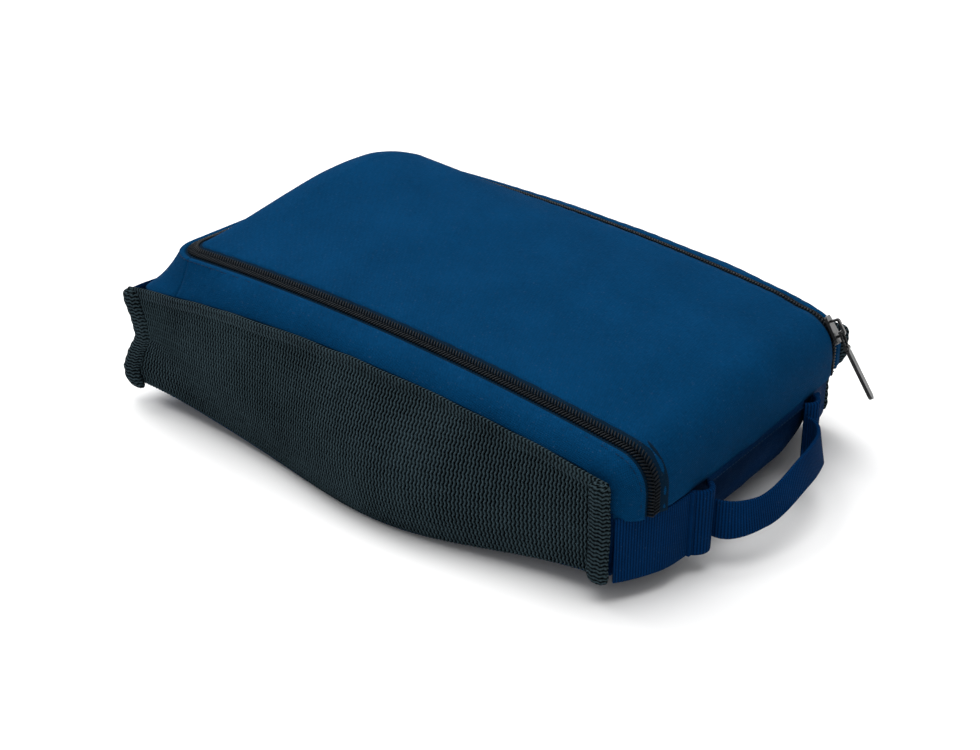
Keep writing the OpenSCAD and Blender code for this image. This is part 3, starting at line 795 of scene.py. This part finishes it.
def band_outer(point, out):
    """The bands' outer edge beside each point of the zip: the corner seam on the handle end, the
    mesh's top edge along the side, and a rounded square round the far corner."""
    x, z = point[:, 0], point[:, 2]
    t = np.clip((x - FOLD_X) / (END_X - FOLD_X), 0, 1)
    run = np.stack([mix(np.minimum(x, HALF_L - 12), HALF_L - 1.6, t ** 4),
                    -HALF_W + 2.5 - bulge(x, TOP_SHARE) * (1 - t),
                    side_top(np.minimum(x, HALF_L)) - 9 * t ** 4], -1)
    end = np.stack([HALF_L - 1.6 + 0 * x, -HALF_W + 1.9 + 0 * x, z - 1.5], -1)
    edge = np.where((z < BEND_Z + 1)[:, None] & (x > FOLD_X)[:, None], end, run)
    reach = ((np.abs(out[:, 0]) / (FAR_X + HALF_L + CORNER_R)) ** 12
             + (np.abs(out[:, 1]) / (HALF_W - ZIP_Y + CORNER_R - 2.5)) ** 12) ** (-1 / 12)
    far = point - CORNER_R * out + reach[:, None] * out
    far[:, 1] += np.sign(far[:, 1]) * bulge(far[:, 0], TOP_SHARE)
    far[:, 2] = side_top(far[:, 0])
    edge = np.where((x < CORNER_X)[:, None], far, edge)
    return np.stack([evened(edge[:, i], 9) for i in range(3)], -1)


class BAG_OT_bands(bpy.types.Operator):
    """The cloth between the zip and the mesh sides, and between the zip and the far end"""

    bl_idname = "bag.bands"
    bl_label = "Bands"
    bl_options = {"REGISTER", "UNDO"}

    def execute(self, context):
        """A sheet mixed from the tape's edge to the outer seam, with some fullness and puckers."""
        sizes = context.scene.bag_sizes
        line = zip_stations(1.5, whole=False)
        point, out, up, along = line
        edge = band_outer(point, out)
        start = place(line, np.array([6.4, 6.0, 6.5, 7.8]), np.array([0.15, 0.9, 1.6, 1.7]))
        t = np.linspace(0, 1, 22)[1:]
        rest = mix(start[:, -1:], edge[:, None], t[None, :, None])
        ahead = smooth((point[:, 0] + 150) / 60)[:, None]
        full = mix(-2.5, 1.4, ahead) * np.sin(math.pi * t) - 1.3 * t ** 3
        puff = full + 0.5 * ripple(along[:, None], 30 * t[None], 12, 50.0) * np.sin(math.pi * t)
        puff = puff + sizes.pucker * 1000 * np.sin(along[:, None] * 0.6) * np.exp(-t * 3)
        rest = rest + (up + 0.5 * out)[:, None] * puff[..., None]
        grid = np.concatenate([start, rest], 1)
        split = int(np.argmax(point[:, 0] < CORNER_X))
        near, far = grid[:split + 1], grid[split:]
        back = near.copy()
        hold = np.concatenate([np.ones(4), 1 - smooth(t)])
        back[..., 0] -= (back[..., 0] - pull_x(back[..., 0], ZIP_Y)) * hold
        ring = np.concatenate([far, (far * MIRROR)[-2::-1]])
        for name, rows, node in (("front_cloth", near, "front_band"),
                                 ("back_cloth", (back * MIRROR)[::-1], "back_band"),
                                 ("far_cloth", ring, "far_end_band")):
            piece = surface(name, rows, material("Oxford"), sizes.cloth * 1000, flip=True)
            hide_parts(node)
            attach(piece, "root")
        return {"FINISHED"}


def side_points(x, v, extra=0.0, back=False):
    """A mesh side at a place along the bag and up it: it bulges most below half height, is pressed
    out by the load, and its far seam is pinched; the back one is drawn in at the handle end."""
    low = lift(x, 0 * x + HALF_W) + UNDER
    z = mix(low, side_top(x) - 4, v)
    out = bulge(x, TOP_SHARE) * v ** 2 + toe_push(x) * np.sin(math.pi * mix(TOE_FOOT, 1.0, v))
    out = out + 3.0 * (1 - (x / HALF_L) ** 2) * np.sin(math.pi * v) - 3.0 * (1 - v) ** 6
    folds = ripple(x, 80 * v, 21, 75.0) * np.sin(math.pi * v) * np.clip(1 - (x / HALF_L) ** 8, 0, 1)
    bow = -far_bow(z) * smooth((-x - 128) / 47)
    if back:
        bow = bow - back_draw(HALF_W, z) * smooth((x - 120) / 55)
    return np.stack([x + bow, -HALF_W - out - folds - extra, z], -1)


class BAG_OT_mesh_sides(bpy.types.Operator):
    """The knitted mesh sides and their rolled hems"""

    bl_idname = "bag.mesh_sides"
    bl_label = "Mesh Sides"
    bl_options = {"REGISTER", "UNDO"}

    def execute(self, context):
        """Ribs stand on the side as a cosine of the length along it, and zig-zag up it."""
        sizes = context.scene.bag_sizes
        rib, row = sizes.rib * 1000, sizes.row * 1000
        x, v = np.meshgrid(np.linspace(-HALF_L, HALF_L, 1050), np.linspace(0, 1, 95), indexing="ij")
        for name, node, back in (("front_mesh", "front_mesh_panel", False),
                                 ("back_mesh", "back_mesh_panel", True)):
            cut = side_points(x, v, 0.0, back)
            u, w = lengths(cut, 0).mean(1, keepdims=True), lengths(cut, 1) * (-1 if back else 1)
            zigzag = RIB_SWING * np.sin(math.pi * w / row)
            grid = side_points(x, v, RIB_H * np.cos(2 * math.pi * (u / rib + zigzag)), back)
            if back:
                grid, cut = grid * MIRROR, cut * MIRROR
            piece = surface(name, grid, material("Mesh"), flip=back, cut=cut)
            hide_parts(node)
            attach(piece, "root")
        x = np.linspace(-HALF_L - 1, HALF_L + 1, 840)
        spine = side_points(x, np.ones_like(x))
        spine[:, 2] = side_top(x) - 3.2 + 0.3 * np.sin(x / 7 + np.sin(x / 17))
        spine[:, 1] += 0.5 + 0.3 * np.sin(x / 9)
        profile = rounded_bar(2.6, 7.2, 1.2)
        wide = 1 + 0.06 * np.sin(x / 5)[:, None] + 0.05 * np.cos(2 * math.pi * x / rib)[:, None]
        ring = np.stack([profile[:, 0] * wide, profile[:, 1] * np.ones_like(wide)], -1)
        hem = swept(spine, ring, np.tile([0.0, 1.0, 0.0], (len(x), 1)), np.tile(UP, (len(x), 1)))
        for name, g, node, flip in (("front_hem", hem, "front_mesh_hem", True),
                                    ("back_hem", hem * MIRROR, "back_mesh_hem", False)):
            piece = surface(name, g, material("Mesh Hem"), close=True, flip=flip, caps=True)
            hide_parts(node)
            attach(piece, "root")
        return {"FINISHED"}


class BAG_OT_corners(bpy.types.Operator):
    """The rolled seams up the four corners"""

    bl_idname = "bag.corners"
    bl_label = "Corner Rolls"
    bl_options = {"REGISTER", "UNDO"}

    def execute(self, context):
        """A two-lobed outline carried up each corner: it swells at both ends, where the mesh is
        gathered, and ends in a round tip."""
        t = np.linspace(0, 1, 120)
        turn = np.linspace(0, 2 * math.pi, 40, endpoint=False)
        lobes = 1 + 0.16 * np.cos(2 * turn) + 0.05 * np.cos(9 * turn)
        tip = np.sqrt(np.clip(1 - (np.abs(2 * t - 1) ** 14), 0.01, 1))
        swell = 1 + 0.12 * np.exp(-((t - 1) / 0.1) ** 2) + 0.15 * np.exp(-(t / 0.12) ** 2)
        size = ROLL_R * tip * swell + 0.12 * np.sin(t * 75)
        for name, end, side in (("roll_far_front", -1, -1), ("roll_far_back", -1, 1),
                                ("roll_handle_front", 1, -1), ("roll_handle_back", 1, 1)):
            z = mix(ROLL_FOOT, side_top(end * HALF_L) + 0.5, t)
            drawn = far_bow(z) if end < 0 else back_draw(HALF_W * side, z)
            x = end * (HALF_L - 2.5) - drawn
            y = side * (HALF_W + 0.6 + 0.6 * np.sin(t * 9))
            path = np.stack([x, y, z], -1)
            ring = np.stack([np.cos(turn) * lobes * ROLL_LONG, np.sin(turn) * lobes, 0 * turn], -1)
            shape = path[:, None] + size[:, None, None] * ring
            piece = surface(name, shape, material("Mesh Hem"), close=True, flip=True, caps=True)
            if name == "roll_far_front":
                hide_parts("corner_rolls")
            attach(piece, "root")
        return {"FINISHED"}


class BAG_OT_body(bpy.types.Operator):
    """The underside, both end panels, the hinge seam and the binding"""

    bl_idname = "bag.body"
    bl_label = "Body"
    bl_options = {"REGISTER", "UNDO"}

    def execute(self, context):
        """Grids between the corner seams, with both ends lifted off the floor."""
        sizes = context.scene.bag_sizes
        x, u = np.meshgrid(np.linspace(-1, 1, 80), np.linspace(-1, 1, 60), indexing="ij")
        y = u * (HALF_W - 3 + math.sin(math.pi * TOE_FOOT) * toe_push(x * HALF_L))
        far = HALF_L + far_bow(END_LIFT + UNDER) * smooth((np.abs(y) - 60) / 58)
        long = np.where(x > 0, end_face(y) - foot_in(y), far)
        px = x * long
        drawn = back_draw(y, 10.0) * smooth((px - 120) / 55)
        under = np.stack([px - drawn, y, lift(px, y) + 0.9], -1)
        # These three take the darker copy of the oxford cloth: painted shade on the ends and the
        # underside.
        for name, grid, node, flat, finish, flip in (
            ("underside", under, "bottom_panel", (0.26, 0.37), "Oxford Painted Shade", True),
            ("handle_end", self.end(), "handle_end_panel", (0.25, 0.045), "Oxford Painted Shade", False),
            ("far_end", self.far(), "far_end_panel", (0.24, 0.08), "Oxford Painted Shade", False),
        ):
            piece = surface(name, grid, material(finish), sizes.cloth * 1000, flip=flip)
            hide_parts(node)
            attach(piece, "root")
        y = np.linspace(-HANDLE_SPAN + 7, HANDLE_SPAN - 7, 90)
        path = np.stack([end_face(y) + 1.3, y, SEAM_H - 2.0 + 0.25 * np.sin(y / 6)], -1)
        # The hinge fold takes the darker oxford copy too: painted shade.
        seam = surface("hinge_fold", swept(path, rounded_bar(1.3, 4.6, 0.6)),
                       material("Oxford Painted Shade"), close=True, caps=True)
        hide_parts("hinge_seam")
        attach(seam, "root")
        turn = np.linspace(0, 2 * math.pi, 240, endpoint=True)
        c, s = np.cos(turn), np.sin(turn)
        r = (np.abs(c / (HALF_L - 5)) ** 9 + np.abs(s / (HALF_W - 5)) ** 9) ** (-1 / 9)
        path = np.stack([r * c, r * s, 7.5 + lift(r * c, r * s)], -1)
        tape = surface("inner_binding", swept(path, rounded_bar(1.2, 9.5, 0.5)),
                       material("Binding Tape"), close=True)
        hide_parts("bottom_binding")
        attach(tape, "root")
        return {"FINISHED"}

    def end(self):
        """The handle end: its plan curve at each height, drawn in at the foot."""
        y, v = np.meshgrid(np.linspace(-1, 1, 90), np.linspace(0, 1, 24), indexing="ij")
        y = y * (HALF_W - 1.5)
        z = mix(lift(0 * y + HALF_L, y) + UNDER, SEAM_H + 1.0, v)
        full = 1.2 * np.sin(math.pi * v) + 0.4 * ripple(y, 50 * v, 31, 40.0)
        x = end_face(y) - foot_in(y) * (1 - v) ** 1.6 + full
        return np.stack([x - back_draw(y, z), y, z], -1)

    def far(self):
        """The far end: flat, with a little fullness, up to the far band."""
        y, v = np.meshgrid(np.linspace(1, -1, 80), np.linspace(0, 1, 30), indexing="ij")
        y = y * (HALF_W - 1.5)
        full = 5.0 * np.sin(math.pi * v) * (1 - (y / HALF_W) ** 2)
        full = full + 0.6 * ripple(y, 70 * v, 33, 60.0)
        z = mix(lift(0 * y + HALF_L, y) + UNDER, side_top(-HALF_L) - 0.5, v)
        bow = far_bow(z) * smooth((np.abs(y) - 60) / 58)
        return np.stack([-HALF_L - full - bow, y, z], -1)


class BAG_OT_straps(bpy.types.Operator):
    """The webbing: two base straps, two folds and the handle"""

    bl_idname = "bag.straps"
    bl_label = "Straps"
    bl_options = {"REGISTER", "UNDO"}

    def execute(self, context):
        """A flat bar with round edges carried along each strap's path."""
        bar = rounded_bar(STRAP_T, STRAP_W, 0.9)
        mid = STRAP_H + STRAP_W / 2
        y = np.linspace(-HALF_W + 3.0, -HANDLE_SPAN - 5.5, 60)
        turn = np.linspace(-0.2, 1, 40)
        bow = np.clip(turn, 0, 1)
        made = []
        for side in (-1, 1):
            here = side * -y
            face = end_face(here) - back_draw(here, mid)
            path = np.stack([face + 1.7 + 0.3 * np.sin(y / 5), y, mid + 0 * y], -1)
            made.append(swept(path, bar))
            near = -HANDLE_SPAN - 7 + 13.5 * turn
            face = end_face(side * HANDLE_SPAN) - back_draw(side * HANDLE_SPAN, mid)
            path = np.stack([face + 2.4 + 4.6 * np.sin(math.pi * bow) ** 0.8 + 1.0 * bow, near,
                             mid + 0 * near], -1)
            made.append(swept(path, rounded_bar(3.2, STRAP_W + 0.6, 1.3)))
        for name, grid, node, flip in (
            ("strap_front", made[0], "base_strap_front", False),
            ("strap_back", made[2] * MIRROR, "base_strap_back", True),
            ("fold_front", made[1], "handle_fold_front", False),
            ("fold_back", made[3] * MIRROR, "handle_fold_back", True),
        ):
            piece = surface(name, grid, material("Webbing"), close=True, caps=True, flip=flip)
            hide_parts(node)
            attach(piece, "root")
        a = np.linspace(-math.pi / 2, math.pi / 2, 120)
        half = HANDLE_SPAN - FOLD_LEN / 2 - 1.4
        out = (HANDLE_REACH - 1.1) * np.cos(a) ** 0.8
        skew = HANDLE_SKEW * (1 + np.sin(a)) / 2
        rise = 7.0 * smooth((np.sin(a) + 0.6) / 0.8) - 4.0 * smooth((np.sin(a) - 0.5) / 0.5)
        path = np.stack([HANDLE_X - skew + out, half * np.sin(a), mid - 2.0 + rise], -1)
        side = np.gradient(path, axis=0)
        side /= np.linalg.norm(side, axis=1, keepdims=True)
        outward = np.cross(side, UP)
        lean = 0.30 * np.cos(a)[:, None]
        up = UP * np.cos(lean) - outward * np.sin(lean)
        narrow = mix(0.62, 0.49, np.minimum(1, 1.6 * np.cos(a) ** 2))
        profile = np.repeat(rounded_bar(STRAP_T, STRAP_W - 2, 0.9)[None], len(a), 0)
        profile[..., 1] *= narrow[:, None]
        loop = swept(path, profile, outward * np.cos(lean) + UP * np.sin(lean), up)
        piece = surface("handle", loop, material("Webbing"), close=True, caps=True)
        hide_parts("handle_loop")
        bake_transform(piece)
        return {"FINISHED"}


class BAG_OT_thread(bpy.types.Operator):
    """Topstitching along the bands and the hinge seam"""

    bl_idname = "bag.thread"
    bl_label = "Topstitching"
    bl_options = {"REGISTER", "UNDO"}

    def execute(self, context):
        """Short bars at even steps along each seam."""
        sizes = context.scene.bag_sizes
        line = zip_stations(1.5)
        pitch = sizes.stitch * 1000
        high = line[1] * math.sin(TILT) + line[2] * math.cos(TILT)
        rows = place(line, np.array([8.6]), np.array([2.15]))[:, 0]
        seam = stitches("rim_thread", rows, high, material("Thread"), pitch)
        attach(seam, "root")
        y = np.linspace(-HANDLE_SPAN + 8, HANDLE_SPAN - 8, 60)
        path = np.stack([end_face(y) + 2.0, y, SEAM_H - 3.2 + 0 * y], -1)
        seam = stitches("hinge_thread", path, np.tile([1.0, 0, 0], (len(y), 1)),
                        material("Thread"), pitch)
        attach(seam, "root")
        return {"FINISHED"}


class BAG_OT_pull(bpy.types.Operator):
    """Enamel for the slider, its link and its pull"""

    bl_idname = "bag.pull"
    bl_label = "Slider and Pull"
    bl_options = {"REGISTER", "UNDO"}

    def execute(self, context):
        """The CAD shapes keep their form and take the enamel."""
        for node in ("slider_body", "pull_link", "pull_tab"):
            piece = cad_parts[node]
            piece.data.materials.clear()
            piece.data.materials.append(material("Black Enamel"))
        return {"FINISHED"}


PIECES = (BAG_OT_stage, BAG_OT_zip, BAG_OT_lid, BAG_OT_bands, BAG_OT_body, BAG_OT_mesh_sides,
          BAG_OT_corners, BAG_OT_straps, BAG_OT_thread, BAG_OT_pull)


class BAG_PT_panel(bpy.types.Panel):
    """Sidebar panel that lists the bag's pieces and settings"""

    bl_idname = "BAG_PT_panel"
    bl_label = "Golf Shoe Bag"
    bl_space_type = "VIEW_3D"
    bl_region_type = "UI"
    bl_category = "Shoe Bag"

    def draw(self, context):
        """Lists the operators, then every size and colour."""
        for piece in PIECES:
            self.layout.operator(piece.bl_idname)
        for group in (context.scene.bag_sizes, context.scene.bag_colours):
            for key in group.bl_rna.properties.keys():
                if key not in ("rna_type", "name"):
                    self.layout.prop(group, key)


CLASSES = (BagSizes, BagColours, *PIECES, BAG_PT_panel)


def register():
    """Registers the classes and the scene's settings."""
    for c in CLASSES:
        bpy.utils.register_class(c)
    bpy.types.Scene.bag_sizes = PointerProperty(type=BagSizes)
    bpy.types.Scene.bag_colours = PointerProperty(type=BagColours)


def unregister():
    """Removes the settings and the classes."""
    del bpy.types.Scene.bag_colours
    del bpy.types.Scene.bag_sizes
    for c in reversed(CLASSES):
        bpy.utils.unregister_class(c)


def main():
    """Builds every piece in order."""
    register()
    bpy.ops.bag.stage()
    bpy.ops.bag.zip()
    bpy.ops.bag.lid()
    bpy.ops.bag.bands()
    bpy.ops.bag.body()
    bpy.ops.bag.mesh_sides()
    bpy.ops.bag.corners()
    bpy.ops.bag.straps()
    bpy.ops.bag.thread()
    bpy.ops.bag.pull()


if __name__ == "__main__":
    main()
